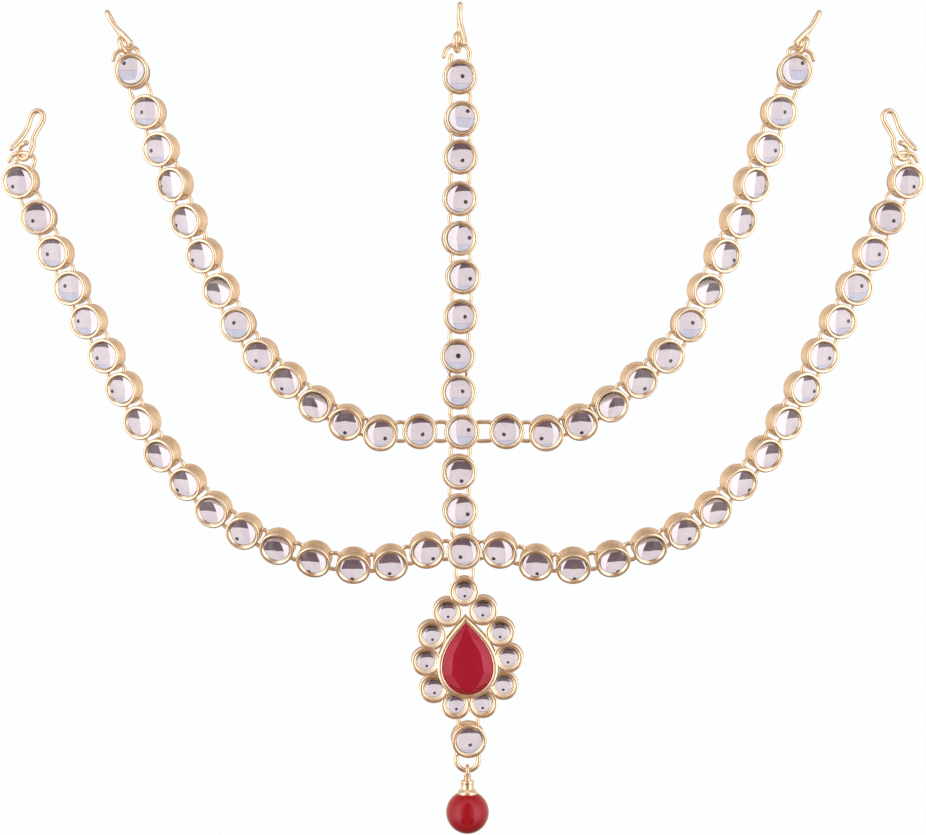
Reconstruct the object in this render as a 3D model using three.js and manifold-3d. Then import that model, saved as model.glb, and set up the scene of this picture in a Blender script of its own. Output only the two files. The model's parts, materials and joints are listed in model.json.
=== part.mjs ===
// A matha patti, the jewelled net that lies over the parting and the brow. A crown strand and two swags of
// round stone cups meet at two junction cups. Each free end has a wire hook on an open ring, and a pear
// pendant with a bead drop swings from the lower junction on one wire link.
// It hangs by its crown hook: the seat of that hook's bend is the origin, +Z is up, and the stones face -Y.
// All sizes are in millimetres and all angles in degrees.
import * as THREE from "three";
import { mergeVertices } from "three/addons/utils/BufferGeometryUtils.js";
import Module from "manifold-3d";

const wasm = await Module();
wasm.setup();

// ---- Driving dimensions ------------------------------------------------------------------------------

const gap = 0.3; // between pieces that touch or move on each other
const wire = 0.85; // thickness of links, rings and hooks
const wireSides = 4;
const linkHalf = 2.2; // from a link's middle to each of its two side wires
const linkStart = 2.2; // how far from a cup's middle its links begin, well inside the cup
const midline = 0.8; // x of the line that the two sides mirror each other about

// A cup is a drum whose stone rises to a dome. Heights are from the plane that its links lie in.
const bigCup = { rim: 4.15, back: 3.9, height: 2.5, depth: 1.8, dome: 0.6, sides: 10 };
const smallCup = { rim: 3.35, back: 3.2, height: 2.05, depth: 1.3, dome: 0.4, sides: 8 };

// Every cup hangs a little crooked. x and z give the middle of its face, lean how far it looks to the left
// or to the outside, and nod how far it looks down its strand.
const spineCups = [
  { name: "crown_cup_1", x: 0.0, z: -17.3, lean: -2, nod: 6 },
  { name: "crown_cup_2", x: 0.5, z: -27.2, lean: -5, nod: 0 },
  { name: "crown_cup_3", x: 0.1, z: -36.6, lean: -2, nod: 9 },
  { name: "crown_cup_4", x: 0.0, z: -46.6, lean: -4, nod: 7 },
  { name: "crown_cup_5", x: 0.1, z: -56.1, lean: -8, nod: 4 },
  { name: "crown_cup_6", x: 0.8, z: -65.4, lean: -5, nod: 6 },
  { name: "crown_cup_7", x: 0.2, z: -74.9, lean: -3, nod: 2 },
  { name: "crown_cup_8", x: -0.5, z: -84.4, lean: -2, nod: 1 },
  { name: "crown_cup_9", x: -0.3, z: -93.0, lean: -3, nod: -1 },
  { name: "junction_cup_upper", x: 0.5, z: -102.6, lean: -4, nod: 0 },
  { name: "mid_cup_1", x: -0.2, z: -112.4, lean: -2, nod: 8 },
  { name: "mid_cup_2", x: 0.1, z: -121.6, lean: -5, nod: 2 },
  { name: "junction_cup_lower", x: 0.9, z: -131.5, lean: 3, nod: 4 },
];
// The left half of each swag, from its hook to its junction. x is measured from the midline.
const upperSwag = [
  { x: -79.8, z: -15.8, lean: 0 },
  { x: -76.4, z: -25.7, lean: 12 },
  { x: -73.5, z: -34.7, lean: 19 },
  { x: -70.4, z: -43.2, lean: 29 },
  { x: -67.0, z: -52.0, lean: 27 },
  { x: -63.2, z: -60.4, lean: 26 },
  { x: -59.1, z: -68.8, lean: 23 },
  { x: -54.6, z: -76.9, lean: 12 },
  { x: -49.3, z: -84.5, lean: 17 },
  { x: -42.8, z: -90.7, lean: 24 },
  { x: -35.8, z: -96.4, lean: 21 },
  { x: -28.4, z: -100.9, lean: 22 },
  { x: -20.0, z: -103.3, lean: 15 },
  { x: -10.4, z: -102.6, lean: 6 },
];
const lowerSwag = [
  { x: -106.9, z: -42.4, lean: 10 },
  { x: -102.3, z: -51.0, lean: 2 },
  { x: -98.7, z: -59.7, lean: 14 },
  { x: -94.6, z: -68.1, lean: 12 },
  { x: -90.8, z: -76.2, lean: 18 },
  { x: -86.5, z: -84.4, lean: 18 },
  { x: -82.4, z: -92.5, lean: 22 },
  { x: -78.1, z: -100.5, lean: 25 },
  { x: -73.3, z: -108.4, lean: 28 },
  { x: -67.0, z: -115.3, lean: 26 },
  { x: -60.6, z: -121.8, lean: 22 },
  { x: -53.1, z: -127.1, lean: 22 },
  { x: -45.0, z: -130.9, lean: 25 },
  { x: -36.1, z: -134.1, lean: 29 },
  { x: -26.5, z: -135.7, lean: 29 },
  { x: -17.4, z: -134.8, lean: 25 },
  { x: -8.7, z: -131.7, lean: 20 },
];
const cupsPerNode = 3; // cups of a swag that share one node

// A hook's eye circle is turned about its shaft. lean is how far the hook leans to the left or the outside,
// turned is the turn of the whole hook about its shaft, and bendUp is from the eye to the bend's centre.
const hook = { eyeRadius: 1.7, eyeTurn: 45, bendRadius: 1.25, steps: 18 };
const crownHook = { lean: -4, turned: 90, bendUp: 7.8 };
const upperHook = { x: -81.7, z: -9.6, lean: 27, turned: 90, bendUp: 7.8 };
const lowerHook = { x: -105.8, z: -34.8, lean: -19, turned: 0, bendUp: 8.8 };

// A hook's ring runs through the first cup and passes under the middle of the eye. Its ends pass each other.
const ring = { belowEye: 0.5, steps: 15 };
const ringRoute = [
  { across: -3.55, share: 0.5 },
  { across: -2.75, share: 0.82 },
  { across: -1.3, share: 0.98 },
  { across: 0.3, share: 1.0 },
  { across: 1.9, share: 0.9 },
  { across: 2.75, share: 0.6 },
  { across: 2.35, share: 0.25 },
  { across: 1.6, share: 0 },
  { across: -1.6, share: 0 },
  { across: -2.05, share: 0.25 },
  { across: -1.7, share: 0.5 },
];

// A slotted cup: a wire bar crosses it in a tunnel, and slots beside a middle lug let the wire's sides out.
const slotted = { barAt: 2.5, lug: 1.475, outer: 3.6, room: 1.0 };

// The pendant's own frame has its middle on the bar that it swings on, x right, y up and z to the front.
const pendant = { x: 1.0, z: -138.85, hang: 0.95, skew: 2.6, topCupDown: 1.75 };
const pendantLink = { half: 2.05, lug: 1.325, outer: 3.2, forward: 1.4, backward: 9 };
const petals = [
  { across: 4.35, down: 4.9 },
  { across: 8.45, down: 10.3 },
  { across: 10.15, down: 16.7 },
  { across: 8.6, down: 23.5 },
  { across: 3.35, down: 27.7 },
];
const pear = { radius: 6.15, tip: 11.1, down: 18.9, back: -0.4, girdle: 1.9, table: 3.5, tableShare: 0.66 };
const bezel = { wall: 1.4, tipShare: 1.35, front: 2.3, back: -1.3 };

const dropCup = { x: 1.0, y: -37.75, nod: 9, barAt: 2.4, lowerLug: 0.9 };
const dropRing = { x: 0.8, y: -42.7, radius: 2.575, steps: 14 };
const cap = { loop: 1.15, collar: 0.95, neck: 1.6, flange: 2.45, sides: 8, steps: 10 };
const capHeights = { collarTop: -46.1, neckTop: -47.6, flangeTop: -49.8, flangeEnd: -51.0 };
const bead = { y: -55.25, radius: 5.05, bore: 0.65, recess: 1.1, recessTop: -59.3, sides: 12 };
const pin = { radius: 0.35, head: 0.8, headTop: -59.6, end: -60.0, sides: 6 };

// ---- Shapes and solids -------------------------------------------------------------------------------

const radians = THREE.MathUtils.degToRad;
const vector = (x, y, z) => new THREE.Vector3(x, y, z);
const shift = (x, y, z) => new THREE.Matrix4().makeTranslation(x, y, z);

// A closed geometry as a solid that can be joined and cut. Faces that the merging folds up are dropped.
function solid(geometry) {
  const bare = geometry.clone();
  bare.deleteAttribute("normal");
  bare.deleteAttribute("uv");
  const merged = mergeVertices(bare, 1e-4);
  const corners = merged.index.array;
  const kept = [];
  for (let i = 0; i < corners.length; i += 3) {
    const [a, b, c] = corners.slice(i, i + 3);
    if (a !== b && b !== c && c !== a) kept.push(a, b, c);
  }
  const vertProperties = merged.attributes.position.array;
  return new wasm.Manifold(new wasm.Mesh({ numProp: 3, vertProperties, triVerts: new Uint32Array(kept) }));
}

const joined = (solids) => solids.reduce((whole, next) => whole.add(next));

function toGeometry(made) {
  const mesh = made.getMesh();
  const geometry = new THREE.BufferGeometry();
  geometry.setAttribute("position", new THREE.BufferAttribute(new Float32Array(mesh.vertProperties), 3));
  geometry.setIndex(new THREE.BufferAttribute(new Uint32Array(mesh.triVerts), 1));
  const faceted = geometry.toNonIndexed();
  faceted.computeVertexNormals();
  return faceted;
}

// A turned shape about the z axis, from radius and height pairs that run from its back to its front.
function turnedShape(profile, sides) {
  const points = profile.map(([radius, height]) => new THREE.Vector2(radius, height));
  return new THREE.LatheGeometry(points, sides, Math.PI / sides).rotateX(Math.PI / 2);
}

// A block between two opposite corners.
function block(low, high) {
  const size = high.clone().sub(low);
  const middle = low.clone().add(high).multiplyScalar(0.5);
  return new THREE.BoxGeometry(size.x, size.y, size.z).translate(middle.x, middle.y, middle.z);
}

// A round wire along a curve.
function wireShape(curve, steps) {
  const corners = Array.from({ length: wireSides }, (_, k) => {
    const angle = (2 * Math.PI * (k + 0.5)) / wireSides;
    return new THREE.Vector2(Math.cos(angle), Math.sin(angle)).multiplyScalar(wire / 2);
  });
  const section = new THREE.Shape(corners);
  return new THREE.ExtrudeGeometry(section, { steps, extrudePath: curve, bevelEnabled: false });
}

// A square bar from one point to another, with one of its flats turned towards a direction.
function barShape(from, to, facing) {
  const along = to.clone().sub(from);
  const length = along.length();
  along.normalize();
  const side = facing.clone().cross(along).normalize();
  const frame = new THREE.Matrix4().makeBasis(side, along.clone().cross(side), along);
  frame.setPosition(from.clone().add(to).multiplyScalar(0.5));
  return new THREE.BoxGeometry(wire, wire, length).applyMatrix4(frame);
}

// ---- Cups and links ----------------------------------------------------------------------------------

function cupShape(size) {
  const profile = [
    [0, -size.depth],
    [size.back, -size.depth],
    [size.rim, size.height],
    [0, size.height + size.dome],
  ];
  return turnedShape(profile, size.sides);
}

// Where the cups of a strand are. The last row of the strand may belong to a junction, and tells only where
// the strand ends. Each cup looks to the front, rolled about its strand by its lean and tipped by its nod.
function placeCups(rows) {
  const faces = rows.map(({ x, z }) => vector(x, 0, z));
  return rows.map(({ lean, nod = 0 }, k) => {
    const before = faces[Math.max(k - 1, 0)];
    const after = faces[Math.min(k + 1, rows.length - 1)];
    const along = after.clone().sub(before).normalize();
    const front = vector(0, -1, 0);
    const outward = along.clone().cross(front);
    const rolled = front.multiplyScalar(Math.cos(radians(lean)));
    rolled.addScaledVector(outward, Math.sin(radians(lean)));
    const normal = rolled.multiplyScalar(Math.cos(radians(nod)));
    normal.addScaledVector(along, Math.sin(radians(nod)));
    const middle = faces[k].clone().addScaledVector(normal, -bigCup.height).setY(0);
    return { middle, normal };
  });
}

// A cup's frame, turned so that its y axis points towards a place: x across, y along, z out of its face.
function cupFrame(cup, towards) {
  const across = towards.clone().sub(cup.middle).cross(cup.normal).normalize();
  const along = cup.normal.clone().cross(across);
  return new THREE.Matrix4().makeBasis(across, along, cup.normal).setPosition(cup.middle);
}

const cupSolid = (cup, towards) => solid(cupShape(bigCup).applyMatrix4(cupFrame(cup, towards)));

// The two side wires of the link between two cups. A whole link reaches into both, and one that isn't whole
// stops just short of the second cup, which belongs to another node.
function linkSolids(first, second, whole) {
  const wall = Math.sqrt(bigCup.rim ** 2 - (linkHalf - wire / 2) ** 2);
  const reach = whole ? linkStart : wall + gap;
  const start = cupFrame(first, second.middle);
  const end = cupFrame(second, first.middle);
  return [-1, 1].map((side) => {
    const from = vector(side * linkHalf, linkStart, 0).applyMatrix4(start);
    const to = vector(-side * linkHalf, reach, 0).applyMatrix4(end);
    return solid(barShape(from, to, first.normal));
  });
}

// What a slotted cup loses to the wire that it holds, in a frame whose y axis points to the wire's loop.
function slotShapes({ barAt, lug, outer, front, back }) {
  const room = wire / 2 + gap;
  const beyond = barAt + bigCup.rim;
  const tunnel = block(vector(-outer, barAt - room, -room), vector(outer, barAt + room, room));
  const left = block(vector(-outer, barAt - room, -back), vector(-lug, beyond, front));
  const right = block(vector(lug, barAt - room, -back), vector(outer, beyond, front));
  return [tunnel, left, right];
}

const cutSlots = (whole, slots, frame) =>
  whole.subtract(joined(slotShapes(slots).map((shape) => solid(shape.applyMatrix4(frame)))));

const slotsFor = (size) => ({ ...size, front: size.room, back: size.room });

// ---- Rings and hooks ---------------------------------------------------------------------------------

// The frame of a hook's ring, on the middle of the bar that crosses the cup. The ring's plane holds the eye.
function ringFrame(cup, eye) {
  const cupToWorld = cupFrame(cup, eye);
  const inCup = eye.clone().applyMatrix4(cupToWorld.clone().invert());
  const tilt = Math.atan2(inCup.z, inCup.y - slotted.barAt);
  return cupToWorld.multiply(shift(0, slotted.barAt, 0)).multiply(new THREE.Matrix4().makeRotationX(tilt));
}

function ringShape(cup, eye) {
  const frame = ringFrame(cup, eye);
  const length = eye.distanceTo(vector(0, 0, 0).applyMatrix4(frame)) - ring.belowEye;
  const points = ringRoute.map(({ across, share }) => vector(across, share * length, 0).applyMatrix4(frame));
  return wireShape(new THREE.CatmullRomCurve3(points, false, "centripetal"), ring.steps);
}

// From a hook's own frame to the part's: x across, y up the shaft and z to the front, from its eye's middle.
function hookFrame(place, eye) {
  const lean = new THREE.Matrix4().makeRotationY(-radians(place.lean));
  const upright = new THREE.Matrix4().makeRotationX(Math.PI / 2);
  const turn = new THREE.Matrix4().makeRotationY(radians(place.turned));
  return shift(eye.x, eye.y, eye.z).multiply(lean).multiply(upright).multiply(turn);
}

// One wire: the eye wraps the ring, the shaft goes up to a round bend, and the arm comes down to a free tip.
function hookShape(place, eye) {
  const { bendUp } = place;
  const turn = radians(hook.eyeTurn);
  const onEye = (degrees) => {
    const out = hook.eyeRadius * Math.cos(radians(degrees));
    return vector(out * Math.cos(turn), hook.eyeRadius * Math.sin(radians(degrees)), out * Math.sin(turn));
  };
  const onBend = (degrees) => {
    const angle = radians(degrees);
    return vector(hook.bendRadius * Math.cos(angle), bendUp + hook.bendRadius * Math.sin(angle), 0);
  };
  const points = [
    ...[110, 150, 195, 240, 285, 330, 370].map(onEye),
    vector(1.1, bendUp * 0.4, 0.5),
    vector(hook.bendRadius, bendUp * 0.75, 0.1),
    ...[0, 45, 90, 135, 180].map(onBend),
    vector(-1.5, bendUp * 0.6, 0.3),
    vector(-2.2, bendUp * 0.16, 1.3),
    vector(-2.9, -0.1, 1.7),
  ];
  const curve = new THREE.CatmullRomCurve3(points, false, "centripetal");
  return wireShape(curve, hook.steps).applyMatrix4(hookFrame(place, eye));
}

// The crown hook's eye, placed so that the seat inside the top of its bend is the origin.
function crownEye() {
  const seatUp = crownHook.bendUp + hook.bendRadius - wire / 2;
  const seat = vector(0, seatUp, 0).applyMatrix4(hookFrame(crownHook, vector(0, 0, 0)));
  return seat.negate();
}

// ---- The pendant -------------------------------------------------------------------------------------

// From the frame of the leaning flower of cups, with its top cup in the middle, to the pendant's.
const flowerFrame = shift(0, -pendant.topCupDown, 0).multiply(
  new THREE.Matrix4().makeRotationZ(radians(pendant.skew)),
);
const pearFrame = flowerFrame.clone().multiply(shift(0, -pear.down, 0));

// The petals' middles, down the left side from the top cup and back up the right side to it.
const flowerRows = [
  { across: 0, down: 0 },
  ...petals.map(({ across, down }) => ({ across: -across, down })),
  ...[...petals].reverse(),
];
const petalMiddles = flowerRows.map(({ across, down }) => vector(across, -down, 0).applyMatrix4(flowerFrame));

// Solder between neighbouring petals, from inside one to inside the next.
function solderShape(from, to) {
  return barShape(from.clone().lerp(to, 0.3), to.clone().lerp(from, 0.3), vector(0, 0, 1));
}

// A pear outline, point up, about the middle of its round end.
function pearOutline(grow) {
  const radius = pear.radius + grow;
  const tip = pear.tip + bezel.tipShare * grow;
  const outline = new THREE.Shape();
  outline.moveTo(0, tip);
  outline.bezierCurveTo(-2.0, tip - 2.6, -radius, radius * 0.85, -radius, 0);
  outline.absarc(0, 0, radius, Math.PI, 2 * Math.PI);
  outline.bezierCurveTo(radius, radius * 0.85, 2.0, tip - 2.6, 0, tip);
  return outline;
}

// A pear-shaped slab between two heights.
function pearSlab(grow, back, front) {
  const slab = { depth: front - back, bevelEnabled: false, curveSegments: 5 };
  const shape = new THREE.ExtrudeGeometry(pearOutline(grow), slab).translate(0, 0, back);
  return solid(shape.applyMatrix4(pearFrame));
}

// The red stone: a slab up to its girdle, then a crown that slopes in to a flat table.
function pearStone() {
  const slab = { depth: pear.table - pear.girdle, bevelEnabled: false, curveSegments: 5 };
  const crown = new THREE.ExtrudeGeometry(pearOutline(0), slab);
  const points = crown.attributes.position;
  for (let i = 0; i < points.count; i++) {
    const share = points.getZ(i) > 0 ? pear.tableShare : 1;
    points.setXY(i, points.getX(i) * share, points.getY(i) * share);
  }
  crown.translate(0, 0, pear.girdle).applyMatrix4(pearFrame);
  return pearSlab(0, pear.back, pear.girdle).add(solid(crown));
}

const dropNormal = vector(0, -Math.sin(radians(dropCup.nod)), Math.cos(radians(dropCup.nod)));
const dropPlace = { middle: vector(dropCup.x, dropCup.y, 0), normal: dropNormal };
const dropUp = cupFrame(dropPlace, vector(dropCup.x, 0, 0));
const dropDown = cupFrame(dropPlace, vector(dropCup.x, 2 * dropCup.y, 0));

// The link that the drop cup hangs on: a bar in its upper tunnel and two wires up into the last petals.
function dropLink() {
  const ends = [-1, 1].map((side) => vector(side * linkHalf, dropCup.barAt, 0).applyMatrix4(dropUp));
  const corner = vector(wire / 2, 0, 0);
  const front = vector(0, 0, 1);
  const cross = barShape(ends[0].clone().sub(corner), ends[1].clone().add(corner), front);
  const top = -pendant.topCupDown - petals.at(-1).down - smallCup.rim / 2;
  const sides = ends.map((end) => barShape(end, vector(end.x, top, end.z), front));
  return joined([cross, ...sides].map(solid));
}

// Everything in the pendant that is soldered together: the flower of small cups, the bezel and the link.
function pendantFrame() {
  const cups = petalMiddles.map(({ x, y, z }) => solid(cupShape(smallCup).translate(x, y, z)));
  const solder = petalMiddles.map((middle, k, all) => solid(solderShape(middle, all[(k + 1) % all.length])));
  const tray = pearSlab(bezel.wall, bezel.back, bezel.front);
  const recess = pearSlab(gap, pear.back - gap, 2 * pear.table);
  const { lug, outer, forward, backward } = pendantLink;
  const slots = { barAt: 0, lug, outer, front: forward, back: backward };
  const body = joined([tray, ...cups, ...solder]).subtract(recess);
  return cutSlots(body, slots, new THREE.Matrix4()).add(dropLink());
}

function dropCupSolid() {
  const upper = { ...slotsFor(slotted), barAt: dropCup.barAt };
  const lower = { ...upper, lug: dropCup.lowerLug, front: 1.3, back: 1.3 };
  return cutSlots(cutSlots(cupSolid(dropPlace, vector(dropCup.x, 0, 0)), upper, dropUp), lower, dropDown);
}

// A closed ring of wire around a point, in the plane of two directions.
function circleShape(middle, first, second, radius, steps) {
  const points = Array.from({ length: steps }, (_, k) => {
    const angle = (2 * Math.PI * k) / steps;
    const point = middle.clone().addScaledVector(first, radius * Math.cos(angle));
    return point.addScaledVector(second, radius * Math.sin(angle));
  });
  return wireShape(new THREE.CatmullRomCurve3(points, true), steps);
}

// The depth of the drop, on the bar of the drop cup's lower tunnel.
const dropDepth = vector(0, dropCup.barAt, 0).applyMatrix4(dropDown).z;

function dropRingSolid() {
  const middle = vector(dropRing.x, dropRing.y, dropDepth);
  return solid(circleShape(middle, vector(1, 0, 0), vector(0, 1, 0), dropRing.radius, dropRing.steps));
}

// A turned shape about the drop's upright axis, from radius and height pairs that run from bottom to top.
function dropTurned(profile, sides) {
  const points = profile.map(([radius, height]) => new THREE.Vector2(radius, height));
  return new THREE.LatheGeometry(points, sides).translate(dropRing.x, 0, dropDepth);
}

// A ball about the bead's middle.
const ballShape = (radius) =>
  new THREE.SphereGeometry(radius, bead.sides, bead.sides / 2).translate(dropRing.x, bead.y, dropDepth);

// The loop, the stepped cap over the bead and the head pin through it.
function beadCap() {
  const { collarTop, neckTop, flangeTop, flangeEnd } = capHeights;
  const profile = [
    [0, flangeEnd],
    [cap.flange, flangeEnd],
    [cap.flange, flangeTop],
    [cap.neck, flangeTop],
    [cap.neck, neckTop],
    [cap.collar, neckTop],
    [cap.collar, collarTop],
    [0, collarTop],
  ];
  const pinProfile = [
    [0, pin.end],
    [pin.head, pin.end],
    [pin.head, pin.headTop],
    [pin.radius, pin.headTop],
    [pin.radius, neckTop],
    [0, neckTop],
  ];
  const loopMiddle = vector(dropRing.x, dropRing.y - dropRing.radius, dropDepth);
  const loop = circleShape(loopMiddle, vector(0, 1, 0), vector(0, 0, 1), cap.loop, cap.steps);
  const stepped = solid(dropTurned(profile, cap.sides)).subtract(solid(ballShape(bead.radius + gap)));
  return joined([stepped, solid(loop), solid(dropTurned(pinProfile, pin.sides))]);
}

function redBead() {
  const low = bead.y - bead.radius - 1;
  const high = bead.y + bead.radius + 1;
  const boreProfile = [
    [0, low],
    [bead.recess, low],
    [bead.recess, bead.recessTop],
    [bead.bore, bead.recessTop],
    [bead.bore, high],
    [0, high],
  ];
  return solid(ballShape(bead.radius)).subtract(solid(dropTurned(boreProfile, cap.sides)));
}

// ---- Assembly ----------------------------------------------------------------------------------------

const gold = { color: 0xe3b57c, metalness: 1, roughness: 0.2 };
const ruby = { color: 0xa5142c, metalness: 0, roughness: 0.1 };
const enamel = { color: 0xa8121c, metalness: 0, roughness: 0.15 };

function addPiece(parent, name, made, finish) {
  const mesh = new THREE.Mesh(toGeometry(made), new THREE.MeshStandardMaterial(finish));
  mesh.name = name;
  parent.add(mesh);
}

// A cup that holds the ring of a hook, whose eye is at the given place.
const hookCup = (cup, eye) => cutSlots(cupSolid(cup, eye), slotsFor(slotted), cupFrame(cup, eye));

function addHook(parent, name, place, cup, eye) {
  addPiece(parent, `${name}_hook_ring`, solid(ringShape(cup, eye)), gold);
  addPiece(parent, `${name}_hook`, solid(hookShape(place, eye)), gold);
}

// The bar and side wires that the pendant swings on, below the lower junction cup.
function pendantLoop(cup) {
  const corners = [-1, 1].map((side) => vector(pendant.x + side * pendantLink.half, 0, pendant.z));
  const overlap = vector(wire / 2, 0, 0);
  const front = vector(0, -1, 0);
  const cross = barShape(corners[0].clone().sub(overlap), corners[1].clone().add(overlap), front);
  const sides = corners.map((corner) => barShape(corner, corner.clone().setZ(cup.middle.z - linkStart), front));
  return [cross, ...sides].map(solid);
}

// The crown strand, the two junction cups and the cups between them, each cup with the link below it.
function addSpine(parent) {
  const cups = placeCups(spineCups);
  const eye = crownEye();
  cups.forEach((cup, k) => {
    const next = cups[k + 1];
    const below = next ? linkSolids(cup, next, false) : pendantLoop(cup);
    const body = k === 0 ? hookCup(cup, eye) : cupSolid(cup, cups[k - 1].middle);
    addPiece(parent, spineCups[k].name, joined([body, ...below]), gold);
  });
  addHook(parent, "crown", crownHook, cups[0], eye);
}

// Half a swag, in stretches of cups that share a node. Each stretch has the link to the next one.
function addSwag(parent, side, name, rows, junctionRow, place) {
  const end = { x: junctionRow.x - midline, z: junctionRow.z, lean: 0 };
  const cups = placeCups([...rows, end]);
  const eye = vector(place.x, 0, place.z);
  for (let first = 0; first < rows.length; first += cupsPerNode) {
    const last = Math.min(first + cupsPerNode, rows.length) - 1;
    const solids = [];
    for (let k = first; k <= last; k++) {
      solids.push(k === 0 ? hookCup(cups[k], eye) : cupSolid(cups[k], cups[k - 1].middle));
      solids.push(...linkSolids(cups[k], cups[k + 1], k < last));
    }
    addPiece(parent, `${name}_${side}_${first / cupsPerNode + 1}`, joined(solids), gold);
  }
  addHook(parent, `${name}_${side}`, place, cups[0], eye);
}

function addPendant(parent) {
  const body = new THREE.Group();
  body.position.set(pendant.x, 0, pendant.z);
  body.rotation.x = Math.PI / 2 + radians(pendant.hang);
  parent.add(body);
  addPiece(body, "pendant_frame", pendantFrame(), gold);
  addPiece(body, "pear_stone", pearStone(), ruby);
  addPiece(body, "drop_cup", dropCupSolid(), gold);
  addPiece(body, "drop_ring", dropRingSolid(), gold);
  addPiece(body, "bead_cap", beadCap(), gold);
  addPiece(body, "red_bead", redBead(), enamel);
}

const group = new THREE.Group();
const junction = (name) => spineCups.find((row) => row.name === name);

addSpine(group);
for (const [side, mirror] of [["left", 1], ["right", -1]]) {
  const half = new THREE.Group();
  half.position.x = midline;
  half.scale.x = mirror;
  group.add(half);
  addSwag(half, side, "upper", upperSwag, junction("junction_cup_upper"), upperHook);
  addSwag(half, side, "lower", lowerSwag, junction("junction_cup_lower"), lowerHook);
}
addPendant(group);

export default group;
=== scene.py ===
"""The finished look of a matha patti, a jewelled hair ornament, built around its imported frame.

Gold-plated cups hold foil-backed glass stones on wire links. Every visible surface is worked out here and
stands for the solid of the same strand, hook or pendant part. Lengths are in millimetres until a surface
becomes a mesh, which is in metres.
"""

import json
import math

import bpy
import numpy as np
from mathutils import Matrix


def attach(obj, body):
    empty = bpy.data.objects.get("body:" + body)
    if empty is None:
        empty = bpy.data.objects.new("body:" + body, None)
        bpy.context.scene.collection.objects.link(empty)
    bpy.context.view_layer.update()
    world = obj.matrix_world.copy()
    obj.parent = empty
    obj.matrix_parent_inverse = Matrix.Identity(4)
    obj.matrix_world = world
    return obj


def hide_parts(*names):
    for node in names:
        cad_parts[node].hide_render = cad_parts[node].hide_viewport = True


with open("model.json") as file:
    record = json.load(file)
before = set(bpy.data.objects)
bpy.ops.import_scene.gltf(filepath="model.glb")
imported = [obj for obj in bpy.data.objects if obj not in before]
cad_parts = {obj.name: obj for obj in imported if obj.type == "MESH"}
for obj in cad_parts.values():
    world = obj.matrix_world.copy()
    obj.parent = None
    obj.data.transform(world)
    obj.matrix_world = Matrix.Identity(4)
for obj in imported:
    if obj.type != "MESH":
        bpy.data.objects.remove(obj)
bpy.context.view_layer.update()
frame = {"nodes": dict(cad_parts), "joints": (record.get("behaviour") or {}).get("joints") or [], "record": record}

MM = 0.001

# ---- Sizes -------------------------------------------------------------------------------------------
# Places follow the solids. Wires and cups are a little fuller than theirs, and the bead hangs a little
# lower.

WIRE = 0.85  # thickness of the cap's loop
LINK_HALF = 2.3  # from a link's middle to each side wire
LINK_WIRE, SWING_WIRE = 1.0, 0.9  # thickness of the strands' links, and of the one the pendant swings on
RING_WIRE, DROP_RING_WIRE, HOOK_WIRE = 1.1, 1.15, 1.25  # the same for the rings and the hooks
MIDLINE = 0.8  # x of the line that the two sides mirror each other about

BACK_DEPTH = 1.8  # from the plane of a big cup's links to its flat back
BACK_AREA = 30.0  # a big cup's back is larger than this, and every other flat of a strand is smaller
SMALL_STONE_TOP = 2.45  # height of the point on a small cup's solid, which tells where its middle is
GLASS_IOR = 1.5

HOOK_EYE, HOOK_BEND = 2.05, 1.45  # radius of a hook's eye and of its bend
HOOK_SEAT = HOOK_BEND - HOOK_WIRE / 2  # from the middle of a hook's bend up to the underside of its wire
# A hook's lean and turn about its shaft, the height of its bend and the turn of its eye, in degrees and
# millimetres. An eye's place is x from the midline and z, and the crown hook's follows from its seat.
HOOKS = {
    "crown_hook": {"lean": -4, "turned": 90, "bend_up": 7.8, "eye_turn": 16},
    "upper_left_hook": {"eye": (-81.7, -9.6), "lean": 27, "turned": 90, "bend_up": 7.8, "eye_turn": 16},
    "lower_left_hook": {"eye": (-105.8, -34.8), "lean": -19, "turned": 0, "bend_up": 8.8, "eye_turn": 34},
}
BELOW_EYE = 0.5  # from a ring's far end to the middle of the hook's eye
BAR_AT = 2.5  # from a cup's middle to where its ring crosses it
# A ring's open loop: how far across, and which share of the way from its crossing to below the eye.
RING_ROUTE = (
    (-3.55, 0.5), (-2.75, 0.82), (-1.3, 0.98), (0.3, 1.0), (1.9, 0.9), (2.75, 0.6),
    (2.35, 0.25), (1.6, 0.0), (-1.6, 0.0), (-2.05, 0.25), (-1.7, 0.5),
)

SKEW = 2.6  # degrees that the flower is turned, with its top to the left
PEAR_RADIUS, PEAR_TIP = 6.15, 11.1  # the pear's round end, and its tip above that end's middle
PEAR_TIP_SHARE = 1.35  # how far the tip moves out for each millimetre that the outline grows
PEAR_BACK, PEAR_GIRDLE, PEAR_TABLE = -0.4, 1.9, 3.5  # heights of the pear stone
DROP_X, DROP_Y, DROP_BAR = 1.0, -37.75, 2.4  # the drop cup's middle, and its bars' distance from it
DROP_NOD, DROP_TURN = 9, 0.12  # degrees that it looks down, and the slope that it looks to the side
BEAD_X = 0.8
RING_Y, RING_RADIUS = -42.85, 2.75
LOOP_RADIUS = 1.15
WRAP_TOP, WRAP_LENGTH, WRAP_RADIUS = -46.65, 1.1, 0.62  # the wire wound below the cap's loop
WRAP_HALF_TURNS, WRAP_WIRE = 5.2, 0.5
BEAD_Y, BEAD_RADIUS = -55.7, 5.15

# ---- Reading the frame -------------------------------------------------------------------------------


def node_triangles(name):
    """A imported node's triangles, as an array of count x 3 corners x 3, in millimetres."""
    mesh = frame["nodes"][name].data
    mesh.calc_loop_triangles()
    corners = np.empty(len(mesh.loop_triangles) * 3, np.int32)
    mesh.loop_triangles.foreach_get("vertices", corners)
    places = np.empty(len(mesh.vertices) * 3, np.float32)
    mesh.vertices.foreach_get("co", places)
    return places.reshape(-1, 3)[corners].reshape(-1, 3, 3).astype(float) / MM


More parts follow.
